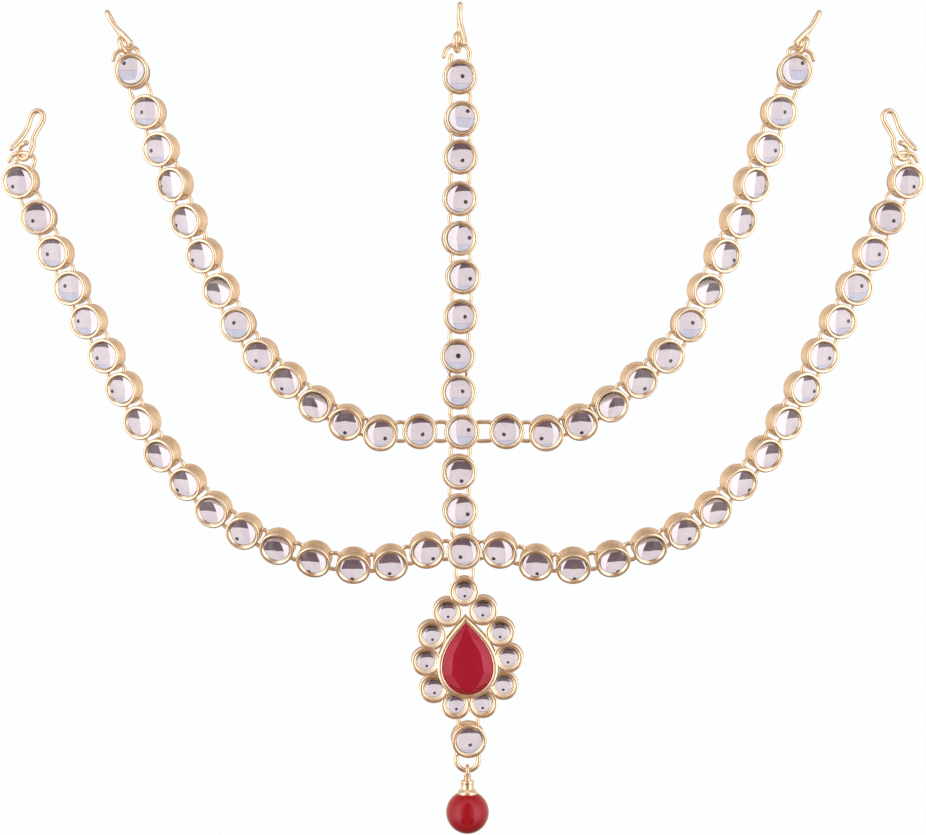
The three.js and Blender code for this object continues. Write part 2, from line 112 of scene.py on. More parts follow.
def unit(vectors):
    """Each vector over its own length."""
    vectors = np.asarray(vectors, float)
    return vectors / np.linalg.norm(vectors, axis=-1, keepdims=True)


def cups_of(name):
    """The big cups in a node, each as its middle and the way it faces.

    A cup's back is the only flat over BACK_AREA: triangles whose normals and distances from the origin
    agree lie in one flat. The cup faces against that normal, and its middle is BACK_DEPTH in front of the
    flat's centroid, which is the mean of the triangles' middles weighted by their areas.
    """
    triangles = node_triangles(name)
    crossed = np.cross(triangles[:, 1] - triangles[:, 0], triangles[:, 2] - triangles[:, 0])
    doubled = np.linalg.norm(crossed, axis=1)
    triangles, crossed, doubled = (part[doubled > 1e-3] for part in (triangles, crossed, doubled))
    normals, areas, middles = crossed / doubled[:, None], doubled / 2, triangles.mean(axis=1)
    offsets = (normals * middles).sum(axis=1)
    waiting = np.ones(len(areas), bool)
    found = []
    while (areas * waiting).max() > 1.0:
        first = np.argmax(areas * waiting)
        flat = waiting & (normals @ normals[first] > 0.9999) & (np.abs(offsets - offsets[first]) < 0.03)
        waiting &= ~flat
        if areas[flat].sum() > BACK_AREA:
            facing = -normals[first]
            centroid = np.average(middles[flat], axis=0, weights=areas[flat])
            found.append(np.stack([centroid + facing * BACK_DEPTH, facing]))
    return found


# ---- Surfaces ----------------------------------------------------------------------------------------
# A surface is a pair: its points, and a list of arrays of three- or four-cornered faces.


def outward(surface):
    """The surface with its faces turned outwards, where the signed volume under them says they aren't."""
    points, faces = surface
    volume = 0.0
    for group in faces:
        for second in range(1, group.shape[1] - 1):
            a, b, c = points[group[:, 0]], points[group[:, second]], points[group[:, second + 1]]
            volume += (a * np.cross(b, c)).sum()
    return (points, [group[:, ::-1] for group in faces]) if volume < 0 else surface


def grid_faces(rows, columns, closed_rows=False):
    """Four-cornered faces of a grid whose columns close on themselves, and whose rows may."""
    row = np.arange(rows if closed_rows else rows - 1)[:, None]
    column = np.arange(columns)[None, :]
    next_row, next_column = (row + 1) % rows, (column + 1) % columns
    corners = (
        row * columns + column,
        row * columns + next_column,
        next_row * columns + next_column,
        next_row * columns + column,
    )
    return np.stack([np.broadcast_to(corner, (len(row), columns)) for corner in corners], -1).reshape(-1, 4)


def closed_grid(rows_of_points, first_pole, last_pole):
    """A grid of rows that close on themselves, with its first and last rows drawn together at a pole."""
    rows, columns = rows_of_points.shape[:2]
    points = np.concatenate([rows_of_points.reshape(-1, 3), [first_pole, last_pole]])
    column = np.arange(columns)
    beside = (column + 1) % columns
    low, high = rows * columns, rows * columns + 1
    last = (rows - 1) * columns
    first_fan = np.stack([np.full(columns, low), beside, column], -1)
    last_fan = np.stack([np.full(columns, high), last + column, last + beside], -1)
    return outward((points, [grid_faces(rows, columns), first_fan, last_fan]))


def turned(profile, sides):
    """A profile of radius and height pairs, turned about the z axis: (r cos a, r sin a, h) at angle a.

    The profile's first and last heights close it on the axis.
    """
    radius, height = np.asarray(profile, float).T
    angle = np.linspace(0, 2 * np.pi, sides, endpoint=False)
    x, y = radius[:, None] * np.cos(angle), radius[:, None] * np.sin(angle)
    rows = np.stack([x, y, np.broadcast_to(height[:, None], x.shape)], -1)
    return closed_grid(rows, (0, 0, height[0]), (0, 0, height[-1]))


def spline(controls, each):
    """A smooth curve through the controls, with the given number of steps between each two.

    Each step is the weighted mean of its four nearest controls, by the pyramid of Barry and Goldman with
    knots a square root of the distance apart. The curve runs one mirrored control past each end.
    """
    controls = np.asarray(controls, float)
    first, last = 2 * controls[0] - controls[1], 2 * controls[-1] - controls[-2]
    padded = np.concatenate([[first], controls, [last]])
    knots = np.concatenate([[0], np.cumsum(np.linalg.norm(np.diff(padded, axis=0), axis=1) ** 0.5)])
    segments = len(controls) - 1
    p = [padded[k : k + segments, None, :] for k in range(4)]
    t = [knots[k : k + segments, None, None] for k in range(4)]
    share = np.linspace(0, 1, each, endpoint=False)[None, :, None]
    at = t[1] + (t[2] - t[1]) * share

    def between(low, high, start, end):
        return low * (end - at) / (end - start) + high * (at - start) / (end - start)

    a = [between(p[k], p[k + 1], t[k], t[k + 1]) for k in range(3)]
    b = [between(a[k], a[k + 1], t[k], t[k + 2]) for k in range(2)]
    curve = between(b[0], b[1], t[1], t[2]).reshape(-1, 3)
    return np.concatenate([curve, controls[-1:]])


def round_wire(path, thickness, beside, closed=False, sides=14):
    """A round wire along a path. A circle is carried along it, square to the mean of the two chords that
    meet at each point, and an open wire ends in half balls: circles that shrink as a sine and move on
    along the end's chord as a cosine. beside is a direction that the path never runs along."""
    path = np.asarray(path, float)
    radius = thickness / 2
    ahead = unit(np.roll(path, -1, axis=0) - path)
    if not closed:
        ahead[-1] = ahead[-2]
    behind = np.roll(ahead, 1, axis=0)
    if not closed:
        behind[0] = ahead[0]
    along = unit(ahead + behind)
    width = np.full(len(path), radius)
    if not closed:
        turn = np.radians([0, 22.5, 45, 67.5])
        reach, shrunk = radius * np.cos(turn)[:, None], radius * np.sin(turn)
        reach, shrunk = reach[1:], shrunk[1:]
        path_start = path[0] - along[0] * reach
        path_end = path[-1] + along[-1] * reach[::-1]
        tips = path[0] - along[0] * radius, path[-1] + along[-1] * radius
        path = np.concatenate([path_start, path, path_end])
        width = np.concatenate([shrunk, width, shrunk[::-1]])
        along = np.concatenate([np.repeat(along[:1], 3, 0), along, np.repeat(along[-1:], 3, 0)])
    side = unit(beside - (along @ np.asarray(beside, float))[:, None] * along)
    up = np.cross(along, side)
    angle = np.linspace(0, 2 * np.pi, sides, endpoint=False)[None, :, None]
    circle = side[:, None] * np.cos(angle) + up[:, None] * np.sin(angle)
    rows = path[:, None] + circle * width[:, None, None]
    if closed:
        return outward((rows.reshape(-1, 3), [grid_faces(len(path), sides, closed_rows=True)]))
    return closed_grid(rows, *tips)


def rounded_oblong(half_width, half_length, corner, steps=5):
    """The middle line of a flat loop: four quarter circles about the corners of a smaller oblong."""
    quarter = np.linspace(0, np.pi / 2, steps)
    angle = np.concatenate([quarter + k * np.pi / 2 for k in range(4)])
    across = np.repeat(np.array([1, -1, -1, 1]) * (half_width - corner), steps)
    along = np.repeat(np.array([1, 1, -1, -1]) * (half_length - corner), steps)
    return np.stack([across + corner * np.cos(angle), along + corner * np.sin(angle), 0 * angle], -1)


def placed(surface, axes, origin):
    """The surface in a frame whose x, y and z axes are the rows of axes."""
    points, faces = surface
    return outward((points @ np.asarray(axes) + origin, faces))


def gathered(surfaces):
    """Several surfaces as one, with the faces of each counted on from the points before it."""
    starts = np.cumsum([0] + [len(points) for points, _ in surfaces])
    points = np.concatenate([points for points, _ in surfaces])
    faces = [group + start for (_, groups), start in zip(surfaces, starts) for group in groups]
    return points, faces


def mesh_object(name, surface):
    """An object whose mesh is the surface as it stands."""
    points, faces = surface
    mesh = bpy.data.meshes.new(name)
    mesh.from_pydata(points.tolist(), [], [face for group in faces for face in group.tolist()])
    made = bpy.data.objects.new(name, mesh)
    bpy.context.scene.collection.objects.link(made)
    return made


def piece(name, surface, material, body, nodes=(), crease=35.0):
    """A named piece of the object: a smooth-shaded mesh in metres, creased where faces meet sharply."""
    points, faces = surface
    made = mesh_object(name, (points * MM, faces))
    made.data.polygons.foreach_set("use_smooth", np.ones(len(made.data.polygons), bool))
    made.data.set_sharp_from_angle(angle=math.radians(crease))
    made.data.materials.append(material)
    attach(made, body)
    if nodes:
        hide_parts(*nodes)
    return made


# ---- Materials ---------------------------------------------------------------------------------------


def linear(hex_colour):
    """An sRGB hex value as the linear colour that a shader takes."""
    srgb = np.array([int(hex_colour[k : k + 2], 16) for k in (1, 3, 5)]) / 255
    low, high = srgb / 12.92, ((srgb + 0.055) / 1.055) ** 2.4
    return (*np.where(srgb <= 0.04045, low, high).tolist(), 1.0)


def per_metre(millimetres):
    """The scale of a pattern whose features are this far apart."""
    return 1 / (millimetres * MM)


def add_node(tree, kind, links=(), inputs=(), **settings):
    """A node with its settings, the values of its inputs, and its inputs' links from other nodes' outputs."""
    made = tree.nodes.new(kind)
    for key, value in settings.items():
        setattr(made, key, value)
    for key, value in dict(inputs).items():
        made.inputs[key].default_value = value
    for key, source in dict(links).items():
        tree.links.new(source, made.inputs[key])
    return made


def new_material(name):
    """An empty material, its tree, and its coordinates on the object."""
    made = bpy.data.materials.new(name)
    made.use_nodes = True
    made.node_tree.nodes.clear()
    place = add_node(made.node_tree, "ShaderNodeTexCoord").outputs["Object"]
    return made, made.node_tree, place


def set_stops(ramp, stops):
    """A colour ramp's stops, from pairs of a position and a linear colour in rising order."""
    elements = ramp.color_ramp.elements
    for _ in stops[2:]:
        elements.new(0.5)
    for element, (position, colour) in zip(elements, stops):
        element.position = position
        element.color = colour


def gold_plated_brass():
    """Brass castings and wire in a thin bright gold plate, barrel polished.

    Warm pale gold, nearly a mirror, that ripples a little where the casting was not quite smooth.
    """
    made, tree, place = new_material("gold_plated_brass")
    patches = add_node(
        tree, "ShaderNodeTexNoise", {"Vector": place}, {"Scale": per_metre(1.6), "Detail": 3.0}
    )
    tone = add_node(tree, "ShaderNodeValToRGB", {"Fac": patches.outputs["Fac"]})
    set_stops(tone, [(0.35, linear("#E2C9A8")), (0.68, linear("#F1E2C7"))])
    polish = add_node(
        tree,
        "ShaderNodeMapRange",
        {"Value": patches.outputs["Fac"]},
        {"From Min": 0.3, "From Max": 0.7, "To Min": 0.17, "To Max": 0.27},
    )
    ripple = add_node(
        tree, "ShaderNodeTexNoise", {"Vector": place}, {"Scale": per_metre(1.1), "Detail": 2.0}
    )
    bump = add_node(
        tree,
        "ShaderNodeBump",
        {"Height": ripple.outputs["Fac"]},
        {"Strength": 0.35, "Distance": 0.12 * MM},
    )
    shader = add_node(
        tree,
        "ShaderNodeBsdfPrincipled",
        {
            "Base Color": tone.outputs["Color"],
            "Roughness": polish.outputs["Result"],
            "Normal": bump.outputs["Normal"],
        },
        {"Metallic": 1.0},
    )
    add_node(tree, "ShaderNodeOutputMaterial", {"Surface": shader.outputs["BSDF"]})
    return made


def silver_foil():
    """Bright tin foil pressed into a shallow dish under each stone.

    A nearly perfect mirror with a cool pink cast, a little duller in places.
    """
    made, tree, place = new_material("silver_foil")
    dulling = add_node(
        tree, "ShaderNodeTexNoise", {"Vector": place}, {"Scale": per_metre(2.2), "Detail": 2.0}
    )
    tone = add_node(tree, "ShaderNodeValToRGB", {"Fac": dulling.outputs["Fac"]})
    set_stops(tone, [(0.3, linear("#E6DFE2")), (0.7, linear("#EEE8EA"))])
    shader = add_node(
        tree,
        "ShaderNodeBsdfPrincipled",
        {"Base Color": tone.outputs["Color"]},
        {"Metallic": 1.0, "Roughness": 0.04},
    )
    add_node(tree, "ShaderNodeOutputMaterial", {"Surface": shader.outputs["BSDF"]})
    return made


def clear_glass():
    """Pressed soda glass, ground and polished: it bends what the foil behind it shows.

    Its polish is as good as perfect, and the melt has the faintest cool streaks.
    """
    made, tree, place = new_material("clear_glass")
    melt = add_node(
        tree, "ShaderNodeTexNoise", {"Vector": place}, {"Scale": per_metre(3.0), "Detail": 1.0}
    )
    tone = add_node(tree, "ShaderNodeValToRGB", {"Fac": melt.outputs["Fac"]})
    set_stops(tone, [(0.3, linear("#F8F9FC")), (0.7, linear("#FFFFFF"))])
    shader = add_node(
        tree,
        "ShaderNodeBsdfPrincipled",
        {"Base Color": tone.outputs["Color"]},
        {"Roughness": 0.0, "IOR": GLASS_IOR, "Transmission Weight": 1.0},
    )
    add_node(tree, "ShaderNodeOutputMaterial", {"Surface": shader.outputs["BSDF"]})
    return made


def red_stone(name, deep, light, roughness):
    """An opaque red stone: a deep body colour in soft clouds under a clear polished skin.

    Its shine is tinted red, more than a clear skin's would be, to keep the colour deep seen face on.
    """
    made, tree, place = new_material(name)
    clouds = add_node(
        tree, "ShaderNodeTexNoise", {"Vector": place}, {"Scale": per_metre(4.0), "Detail": 2.0}
    )
    tone = add_node(tree, "ShaderNodeValToRGB", {"Fac": clouds.outputs["Fac"]})
    set_stops(tone, [(0.3, linear(deep)), (0.72, linear(light))])
    wear = add_node(
        tree,
        "ShaderNodeMapRange",
        {"Value": clouds.outputs["Fac"]},
        {"To Min": roughness, "To Max": roughness + 0.05},
    )
    shader = add_node(
        tree,
        "ShaderNodeBsdfPrincipled",
        {"Base Color": tone.outputs["Color"], "Roughness": wear.outputs["Result"]},
        {"IOR": 1.52, "Specular IOR Level": 0.75, "Specular Tint": (1.0, 0.45, 0.52, 1.0)},
    )
    add_node(tree, "ShaderNodeOutputMaterial", {"Surface": shader.outputs["BSDF"]})
    return made


gold = gold_plated_brass()
foil = silver_foil()
glass = clear_glass()
ruby = red_stone("cast_ruby_resin", "#900520", "#9C0728", 0.12)
bead_glass = red_stone("pressed_red_glass", "#8E0414", "#9A061A", 0.08)

# ---- Cups and stones ---------------------------------------------------------------------------------
# Each profile runs from the middle of the back round to the middle of the front.

BIG_CUP = (
    (1.8, -1.8), (3.85, -1.8), (4.02, -1.7), (4.08, -1.5), (4.08, 1.5), (4.05, 1.68), (4.14, 1.85),
    (4.22, 2.08), (4.18, 2.3), (4.05, 2.44), (3.86, 2.5), (3.66, 2.49), (3.5, 2.42), (3.37, 2.28),
    (3.2, 2.1), (3.06, 1.95), (3.06, 0.32), (1.6, 0.27),
)
SMALL_CUP = (
    (1.5, -1.3), (3.2, -1.3), (3.4, -1.22), (3.47, -1.05), (3.47, 1.2), (3.44, 1.42), (3.53, 1.56),
    (3.57, 1.74), (3.5, 1.95), (3.32, 2.06), (3.05, 2.07), (2.8, 2.0), (2.6, 1.86), (2.46, 1.68),
    (2.28, 1.52), (2.1, 1.42), (2.03, 1.3), (2.03, 0.8), (1.2, 0.75),
)


def bowed(radius, edge, rise, steps=9):
    """Radius and height pairs from an edge to the middle along an arc of a circle that rises by rise.

    The circle's radius is (r^2 + s^2) / 2s, for an edge of radius r and a rise of s.
    """
    ball = (radius**2 + rise**2) / (2 * abs(rise))
    across = radius * np.cos(np.linspace(0, np.pi / 2, steps))[:-1]
    height = np.sqrt(ball**2 - across**2) - math.sqrt(ball**2 - radius**2)
    return np.stack([across, edge + np.sign(rise) * height], -1)


def foil_profile(radius, sag):
    """A dish of foil about its own edge: flat below, and hollow above by its sag."""
    flat = [(radius * 0.5, -sag - 0.1), (radius, -sag - 0.1)]
    return np.concatenate([flat, bowed(radius, 0, -sag)])


def stone_profile(radius, low, rim, rise):
    """A stone that is flat below, with its foil set into it, and rises to a low dome from its rim."""
    return np.concatenate([[(radius * 0.5, low), (radius, low)], bowed(radius, rim, rise)])


def axes_of(facing, towards):
    """The rows x, y and z of a cup's frame, whose z is the way it faces.

    x is the unit cross product of towards and z, and y is the cross product of z and x, so that y points as
    nearly towards that way as it can.
    """
    facing = unit(facing)
    across = unit(np.cross(towards, facing))
    return np.stack([across, np.cross(facing, across), facing])


# A stone and its foil: their radius, the foil's sag, the stone's flat underside, its rim and its rise, and
# the least depth of the foil's edge below the rim.
BIG_STONE = {"radius": 3.15, "sag": 0.28, "low": 0.34, "rim": 2.02, "rise": 0.22, "depth": 0.2}
SMALL_STONE = {"radius": 2.1, "sag": 0.08, "low": 0.78, "rim": 1.42, "rise": 0.42, "depth": 0.06}
MOST_LEAN = 0.16  # the steepest slope of a foil that its cup has room for


def stone_and_foil(size, axes, middle, looked_from, glint, sides=48):
    """A stone in its cup, and the foil set inside it, which leans so that a viewer at a place sees their own
    look come back at the glint.

    In the cup's frame the viewer is at a slope c from its axis. At a distance p from the middle the dome,
    of radius a, and the dish, of radius b, send the viewer's own look straight back where the foil leans by
    c / n + p ((1 - 1 / n) / a + 1 / b), with n the glass's index. The glint gives p, and the lean is held
    to what the cup has room for.
    """
    radius, sag, rise = size["radius"], size["sag"], size["rise"]
    dome, dish = (radius**2 + rise**2) / (2 * rise), (radius**2 + sag**2) / (2 * sag)
    across, up, out = axes @ (looked_from - middle)
    slope = np.array([across, up]) / out
    lean = slope / GLASS_IOR + np.array(glint) * ((1 - 1 / GLASS_IOR) / dome + 1 / dish)
    lean *= min(1, MOST_LEAN / max(np.linalg.norm(lean), 1e-6))
    depth = size["rim"] - size["depth"] - radius * np.linalg.norm(lean)
    foil_axes = axes_of(np.array([*lean, 1.0]) @ axes, axes[1])
    dish_of_foil = placed(turned(foil_profile(radius, sag), sides), foil_axes, middle + axes[2] * depth)
    stone = turned(stone_profile(radius, size["low"], size["rim"], rise), sides)
    return placed(stone, axes, middle), dish_of_foil


def link(first, second, reach=3.25, half=LINK_HALF, corner=1.15):
    """A closed loop of wire from inside one cup to inside the next.

    It is a rounded oblong in the plane whose normal is the sum of the ways the two cups face.
    """
    start, facing = first
    end, facing_on = second
    along = unit(end - start)
    low, high = start + along * reach, end - along * reach
    axes = axes_of(facing + facing_on, along)
    loop = rounded_oblong(half, np.linalg.norm(high - low) / 2, corner)
    wire = round_wire(loop, LINK_WIRE, (0, 0, 1), closed=True, sides=12)
    return placed(wire, axes, (low + high) / 2)


big_cup = turned(BIG_CUP, 48)
VIEWER = np.array([0.72, -502.5, -99.1])  # half a metre in front of the stones' faces

# No stone was set quite straight. These are where each gives a viewer's own look back, judged one by one,
# in millimetres to the right of its middle and up, from a strand's far end inwards. The right strands are
# mirror images of the left ones.
GLINTS = {
    "crown": (
        (0.6, 0.2), (1.4, 1.8), (0.5, -0.7), (1.4, -0.7), (2.3, 0.2), (1.7, -0.4), (1.0, 0.0), (0.1, 0.1),
        (0.9, 0.2), (1.6, 0.5), (0.6, -2.1), (1.8, -0.8), (-0.8, -1.2),
    ),
    "upper": (
        (-1.8, 1.9), (0.4, -0.5), (-2.4, -0.2), (-3.6, -0.3), (-2.0, -1.3), (-2.6, -1.1), (-3.2, -2.8),
        (-0.7, 0.5), (-0.4, -1.1), (-1.0, -1.8), (-2.6, -3.1), (-0.5, -2.5), (1.6, -0.8), (0.6, -0.6),
    ),
    "lower": (
        (-1.9, -1.2), (-1.3, -0.8), (-1.5, -0.2), (-0.8, 0.9), (-2.1, 0.4), (-2.4, -0.6), (-2.4, -0.2),
        (-3.9, -1.8), (-3.3, -2.7), (-2.3, -1.4), (-2.5, -3.1), (-1.7, -1.4), (-1.7, -3.9), (-1.5, -1.9),
        (-0.2, -2.1), (-0.4, -2.4), (2.3, -0.6),
    ),
}


def strand(name, nodes, beyond=None):
    """A strand: its cups and links in one gold piece, its foils in one and its glass stones in one.

    A swag runs from its far end in to a junction, the cup beyond it. The crown's strand runs down.
    """
    cups = [cup for node in nodes for cup in cups_of(node)]
    if beyond is None:
        cups.sort(key=lambda cup: -cup[0][2])
        ends = cups
    else:
        cups.sort(key=lambda cup: -abs(cup[0][0] - MIDLINE))
        ends = [*cups, beyond]
    metal = [link(a, b) for a, b in zip(ends, ends[1:])]
    foils, stones = [], []
    glints = np.array(GLINTS[name.split("_")[0]]) * ((-1, 1) if "right" in name else (1, 1))
    for k, (middle, facing) in enumerate(cups):
        along = ends[min(k + 1, len(ends) - 1)][0] - ends[max(k - 1, 0)][0]
        metal.append(placed(big_cup, axes_of(facing, along), middle))
        stone, dish = stone_and_foil(BIG_STONE, axes_of(facing, (0, 0, 1)), middle, VIEWER, glints[k])
        foils.append(dish)
        stones.append(stone)
    piece(f"{name}_cups", gathered(metal), gold, "net", nodes)
    piece(f"{name}_foils", gathered(foils), foil, "net")
    piece(f"{name}_stones", gathered(stones), glass, "net")
    return cups


spine_nodes = [f"crown_cup_{k}" for k in range(1, 10)]
spine_nodes += ["junction_cup_upper", "mid_cup_1", "mid_cup_2", "junction_cup_lower"]
spine = strand("crown", spine_nodes)
junctions = {"upper": spine[9], "lower": spine[12]}
first_cups = {"crown_hook": spine[0]}
for level, count in (("upper", 5), ("lower", 6)):
    for side in ("left", "right"):
        nodes = [f"{level}_{side}_{k}" for k in range(1, count + 1)]
        first_cups[f"{level}_{side}_hook"] = strand(f"{level}_{side}", nodes, junctions[level])[0]

# ---- Hooks and rings ---------------------------------------------------------------------------------


def turn_about(axis, degrees):
    """A rotation about x, y or z, for column vectors."""
    c, s = math.cos(math.radians(degrees)), math.sin(math.radians(degrees))
    first, second = {"x": (1, 2), "y": (2, 0), "z": (0, 1)}[axis]
    made = np.eye(3)
    made[first, first] = made[second, second] = c
    made[first, second], made[second, first] = -s, s
    return made


def hook_turn(lean, about_shaft):
    """From a hook's own frame to the part's: x across, y up its shaft, z to the front."""
    return turn_about("y", -lean) @ turn_about("x", 90) @ turn_about("y", about_shaft)


def hook_route(bend_up, eye_turn):
    """The hook's middle line: most of an eye, in at the waist, up the shaft, over the bend and down the arm.

    The eye is part of a circle turned about the shaft, and the bend is half a circle.
    """
    turn = math.radians(eye_turn)
    around = np.radians([100, 145, 190, 235, 280, 325, 368])
    out = HOOK_EYE * np.cos(around)
    eye = np.stack([out * math.cos(turn), HOOK_EYE * np.sin(around), out * math.sin(turn)], -1)
    over = np.radians([0, 45, 90, 135, 180])
    bend = np.stack([0.3 + HOOK_BEND * np.cos(over), bend_up + HOOK_BEND * np.sin(over), 0 * over], -1)
    shaft = [
        (1.7, bend_up * 0.2, 0.8), (1.15, bend_up * 0.37, 0.4), (1.2, bend_up * 0.56, 0.2),
        (1.6, bend_up * 0.8, 0),
    ]
    arm = [
        (-1.15, bend_up * 0.76, 0.1), (-1.15, bend_up * 0.52, 0.5), (-1.7, bend_up * 0.25, 1.2),
        (-2.75, -0.6, 1.9),
    ]
    return spline(np.concatenate([eye, shaft, bend, arm]), 7)


def mirrored(surface):
    """The surface on the other side of the midline."""
    points, faces = surface
    return outward((points * (-1, 1, 1) + (2 * MIDLINE, 0, 0), faces))


def hook_surface(place, eye):
    """The hook's wire about its eye."""
    route = hook_route(place["bend_up"], place["eye_turn"])
    points, faces = round_wire(route, HOOK_WIRE, (0.38, 0, -0.92), sides=16)
    return outward((points @ hook_turn(place["lean"], place["turned"]).T + eye, faces))


def ring_surface(cup, eye):
    """The open ring through a cup: its route is stretched from the bar in the cup to just below the eye."""
    middle, facing = cup
    axes = axes_of(facing, eye - middle)
    bar = middle + axes[1] * BAR_AT
    in_cup = axes @ (eye - middle)
    tilt = math.degrees(math.atan2(in_cup[2], in_cup[1] - BAR_AT))
    length = np.linalg.norm(eye - bar) - BELOW_EYE
    route = np.array([(across, share * length, 0) for across, share in RING_ROUTE])
    wire = round_wire(spline(route, 6), RING_WIRE, (0, 0, 1), sides=16)
    return placed(wire, turn_about("x", tilt).T @ axes, bar)


for name, place in HOOKS.items():
    turn = hook_turn(place["lean"], place["turned"])
    seat = turn @ np.array([0, place["bend_up"] + HOOK_SEAT, 0])
    eye = np.array([place["eye"][0] + MIDLINE, 0, place["eye"][1]]) if "eye" in place else -seat
    hook, ring = hook_surface(place, eye), ring_surface(first_cups[name], eye)
    piece(name + "_wire", hook, gold, "net", [name])
    piece(name + "_jump_ring", ring, gold, "net", [name + "_ring"])
    if name != "crown_hook":
        other = name.replace("left", "right")
        piece(other + "_wire", mirrored(hook), gold, "net", [other])
        piece(other + "_jump_ring", mirrored(ring), gold, "net", [other + "_ring"])

# ---- The pendant -------------------------------------------------------------------------------------
# In the pendant's own frame the middle is on the bar that it swings on, x is right, y up and z to the front.

swing = next(joint for joint in frame["joints"] if joint["name"] == "pendant_swing")
back_mount = next(mount for mount in frame["record"]["mounts"] if mount["name"] == "pendant_back")
pivot = np.array(swing["pos_m"]) / MM
front = -np.array(back_mount["axis"])
pendant_axes = np.stack([np.array([1.0, 0, 0]), np.cross(front, (1, 0, 0)), front])


def hung(surface):
    """A surface from the pendant's own frame to the part's."""
    return placed(surface, pendant_axes, pivot)


def pendant_corners(name):
    """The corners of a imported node's triangles in the pendant's own frame."""
    return (node_triangles(name).reshape(-1, 3) - pivot) @ pendant_axes.T


skewed = turn_about("z", SKEW)
stone_corners = pendant_corners("pear_stone") @ skewed
pear_middle = skewed @ np.array(
    [(stone_corners[:, 0].min() + stone_corners[:, 0].max()) / 2, stone_corners[:, 1].min() + PEAR_RADIUS, 0]
)

frame_corners = pendant_corners("pendant_frame")
tops = frame_corners[np.abs(frame_corners[:, 2] - SMALL_STONE_TOP) < 0.02][:, :2]
petals = np.unique(np.round(tops, 1), axis=0)
petals = petals[np.argsort(np.arctan2(petals[:, 0] - pear_middle[0], petals[:, 1] - pear_middle[1]))]
top_petal = np.argmax(petals[:, 1])

PETAL_LEAN = 0.1  # how far a petal's face shifts towards the pear for each millimetre of height


def pear_outline(grow, each=14):
    """A pear outline, point up, about the middle of its round end, grown by a distance.

    A cubic Bezier curve (1-t)^3 a + 3(1-t)^2 t b + 3(1-t) t^2 c + t^3 d runs from the tip down the left
    side, half a circle rounds the bottom, and the curve's mirror image runs up to the tip.
    """
    radius, tip = PEAR_RADIUS + grow, PEAR_TIP + PEAR_TIP_SHARE * grow
    t = np.linspace(0, 1, each, endpoint=False)[:, None]
    controls = np.array([(0, tip), (-2.0, tip - 2.6), (-radius, radius * 0.85), (-radius, 0)])
    weights = np.concatenate([(1 - t) ** 3, 3 * (1 - t) ** 2 * t, 3 * (1 - t) * t**2, t**3], 1)
    left = weights @ controls
    angle = np.linspace(np.pi, 2 * np.pi, 2 * each)
    bottom = radius * np.stack([np.cos(angle), np.sin(angle)], -1)
    right = left[:0:-1] * (-1, 1)
    return np.concatenate([left, bottom, right])


def pear_turned(profile):
    """Rows of (share, grow, height) as pear outlines stacked into one closed surface."""
    rows = [
        np.concatenate([pear_outline(grow) * share, np.full((len(pear_outline(grow)), 1), height)], 1)
        for share, grow, height in profile
    ]
    middle = np.array([0, 1.0])
    poles = [(*middle, profile[0][2]), (*middle, profile[-1][2])]
    return closed_grid(np.stack(rows), *poles)


def in_pear(surface):
    """A surface from the pear's frame to the pendant's."""
    points, faces = surface
    return points @ skewed.T + pear_middle, faces


BEZEL = (
    (0.5, 0, -1.3), (1, 1.2, -1.3), (1, 1.36, -1.2), (1, 1.4, -1.0), (1, 1.38, 1.35), (1, 1.3, 1.75),
    (1, 1.1, 2.08), (1, 0.78, 2.27), (1, 0.42, 2.33), (1, 0.12, 2.26), (1, -0.04, 2.12), (1, -0.12, 1.9),
    (1, -0.12, -0.6), (0.5, 0, -0.65),
)
FACETS = 8
TUCKED = 0.25  # how far the gem's edge grows past the pear outline, in under the bezel
TABLE_WIDE, TABLE_TALL = 0.62, 0.82  # the table's share of the girdle, across the pear and along it


def pear_gem():
    """The cut stone: a flat table, a brilliant's crown in three rings of facets, and a straight girdle.

    The corners of a ring are spaced evenly along the pear outline, each at its share of the outline's x and
    y. The waist's shares and height are halfway between the table's and the girdle's.
    """
    outline = pear_outline(TUCKED, each=60)
    looped = np.concatenate([outline, outline[:1]])
    length = np.concatenate([[0], np.cumsum(np.linalg.norm(np.diff(looped, axis=0), axis=1))])

    def ring(count, start, wide, tall, height):
        at = (np.arange(count) + start) / count * length[-1] % length[-1]
        x, y = np.interp(at, length, looped[:, 0]), np.interp(at, length, looped[:, 1])
        return np.stack([x * wide, y * tall, np.full(count, height)], -1)

    table = ring(FACETS, 0.5, TABLE_WIDE, TABLE_TALL, PEAR_TABLE)
    waist = ring(FACETS, 1, (1 + TABLE_WIDE) / 2, (1 + TABLE_TALL) / 2, (PEAR_TABLE + PEAR_GIRDLE) / 2)
    girdle = ring(2 * FACETS, 1, 1, 1, PEAR_GIRDLE)
    back = ring(2 * FACETS, 1, 1, 1, PEAR_BACK)
    points = np.concatenate([table, waist, girdle, back])
    k = np.arange(FACETS)
    after = (k + 1) % FACETS
    w, g = FACETS, 2 * FACETS
    j = np.arange(2 * FACETS)
    j_after = (j + 1) % (2 * FACETS)
    kites = np.stack([k, w + (k - 1) % FACETS, g + 2 * k, w + k], -1)
    stars = np.stack([k, w + k, after], -1)
    halves = np.concatenate([
        np.stack([w + k, g + 2 * k, g + 2 * k + 1], -1),
        np.stack([w + k, g + 2 * k + 1, g + 2 * after], -1),
    ])
    sides = np.stack([g + j, g + g + j, g + g + j_after, g + j_after], -1)
    flats = [k[None, :], (2 * g + j)[None, ::-1]]
    return outward((points, [kites, stars, halves, sides, *flats]))


